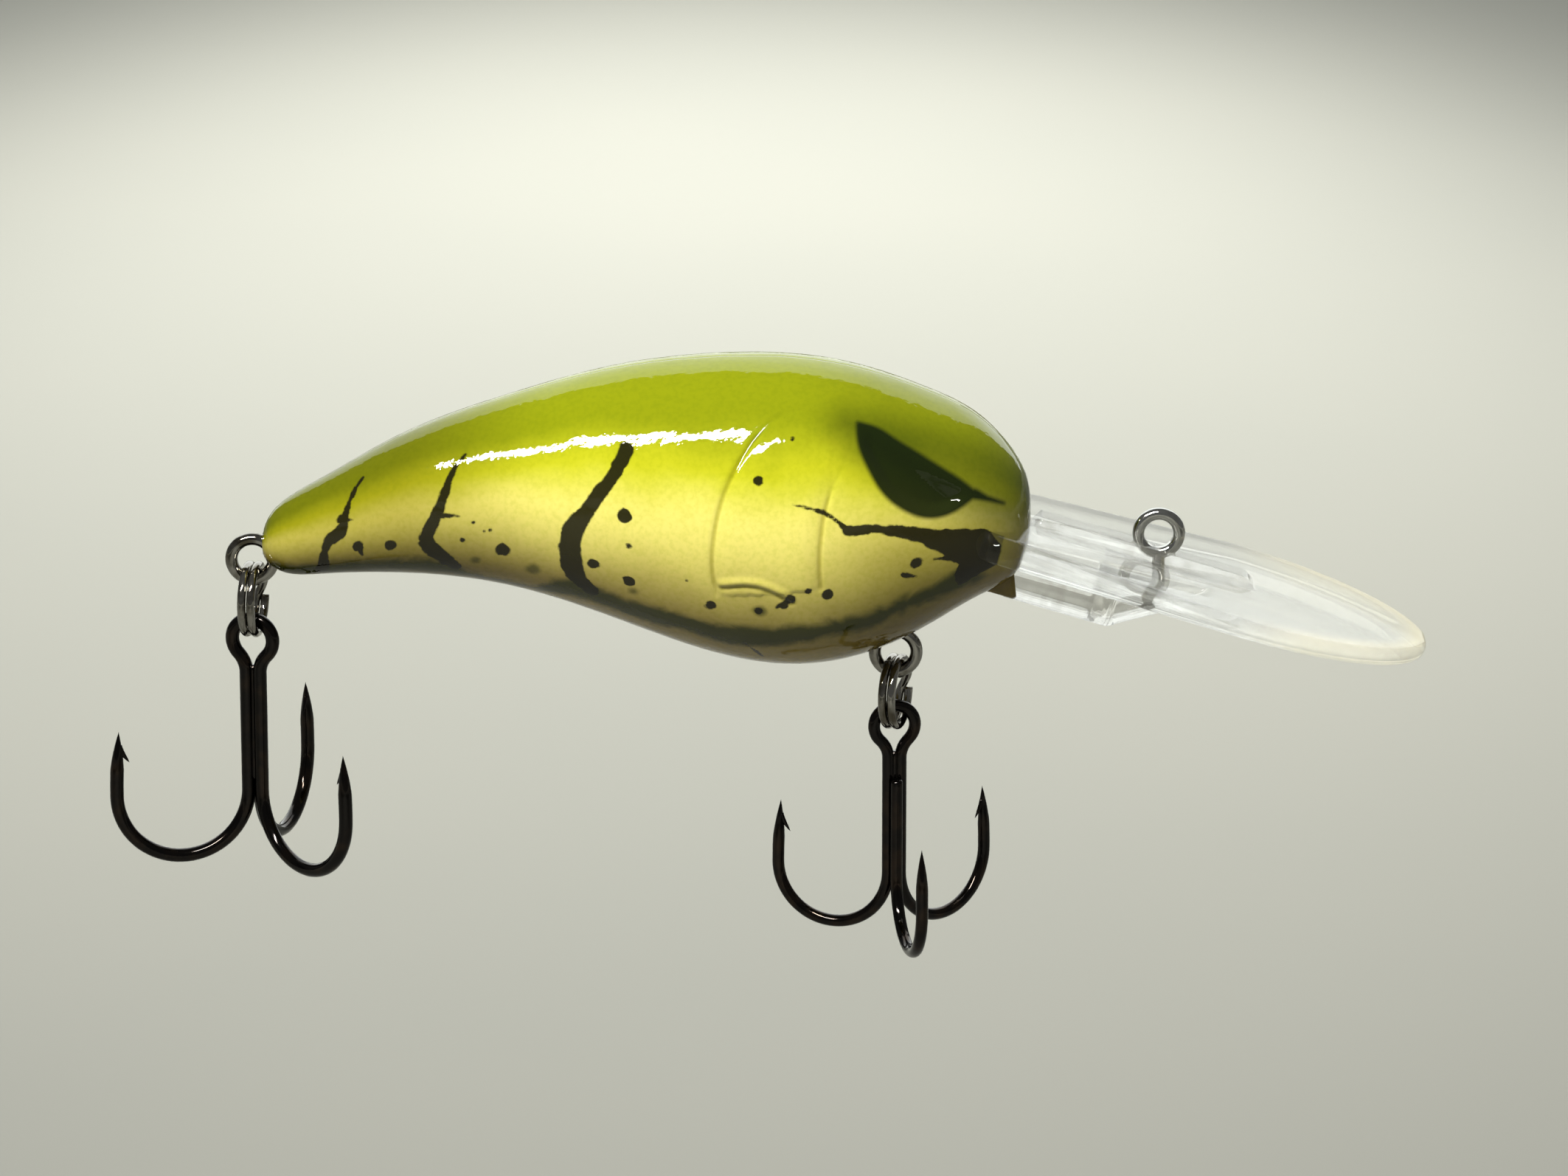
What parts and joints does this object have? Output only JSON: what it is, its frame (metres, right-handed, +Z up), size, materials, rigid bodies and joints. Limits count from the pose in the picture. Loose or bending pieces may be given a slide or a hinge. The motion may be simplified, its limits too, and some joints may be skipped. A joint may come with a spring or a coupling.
{
  "type": "crankbait lure",
  "caption": "Deep-diving crankbait: fat hollow two-piece body with loose rattle balls, clear diving bill, wire line tie, and treble hooks hung on split rings at belly and tail.",
  "frame": {"origin": "centre of the line-tie eye", "axes": "+X towards the nose and the bill's tip, +Y towards the lure's left along the line-tie eye's hole, +Z up with the treble hooks hanging below"},
  "size_m": [0.0951, 0.02, 0.0437],
  "materials": {
    "painted_body": "airbrushed chartreuse craw pattern under a clear gloss coat",
    "clear_bill": "clear moulded polycarbonate",
    "black_nickel": "glossy black-nickel plated hook wire",
    "dark_nickel": "dark nickel plated spring wire",
    "tie_steel": "bright stainless wire",
    "ball_steel": "plain steel ball"
  },
  "bodies": {
    "lure_body": {"left_body_shell": "painted_body", "right_body_shell": "painted_body", "diving_bill": "clear_bill", "line_tie": "tie_steel", "belly_hanger": "dark_nickel", "tail_hanger": "dark_nickel", "front_ballast_ball": "ball_steel", "rear_ballast_ball": "ball_steel"},
    "belly_ring": {"belly_split_ring": "dark_nickel"},
    "belly_treble": {"belly_double_hook": "black_nickel", "belly_third_hook": "black_nickel"},
    "tail_ring": {"tail_split_ring": "dark_nickel"},
    "tail_treble": {"tail_double_hook": "black_nickel", "tail_third_hook": "black_nickel"},
    "head_rattle": {"head_rattle_ball": "ball_steel"},
    "middle_rattle": {"middle_rattle_ball": "ball_steel"},
    "tail_rattle": {"tail_rattle_ball": "ball_steel"}
  },
  "joints": [
    {"name": "belly_ring_swing", "type": "hinge", "parent": "lure_body", "child": "belly_ring", "pos_m": [-0.01885, 0, -0.00893], "axis": [0, 1, 0], "range_deg": [-45, 45]},
    {"name": "belly_treble_sway", "type": "hinge", "parent": "belly_ring", "child": "belly_treble", "pos_m": [-0.01885, 0, -0.01195], "axis": [0.9613, -0.2756, 0], "range_deg": [-45, 45]},
    {"name": "tail_ring_swing", "type": "hinge", "parent": "lure_body", "child": "tail_ring", "pos_m": [-0.0651, 0, -0.00194], "axis": [0, 1, 0], "range_deg": [-40, 60]},
    {"name": "tail_treble_sway", "type": "hinge", "parent": "tail_ring", "child": "tail_treble", "pos_m": [-0.0651, 0, -0.00496], "axis": [0.9877, -0.1564, 0], "range_deg": [-45, 45]},
    {"name": "head_rattle_slide", "type": "slide", "parent": "lure_body", "child": "head_rattle", "axis": [0, 1, 0], "range_m": [-0.0051, 0.0051]},
    {"name": "middle_rattle_slide", "type": "slide", "parent": "lure_body", "child": "middle_rattle", "axis": [0, 1, 0], "range_m": [-0.0043, 0.0043]},
    {"name": "tail_rattle_slide", "type": "slide", "parent": "lure_body", "child": "tail_rattle", "axis": [0, 1, 0], "range_m": [-0.0022, 0.0022]}
  ]
}
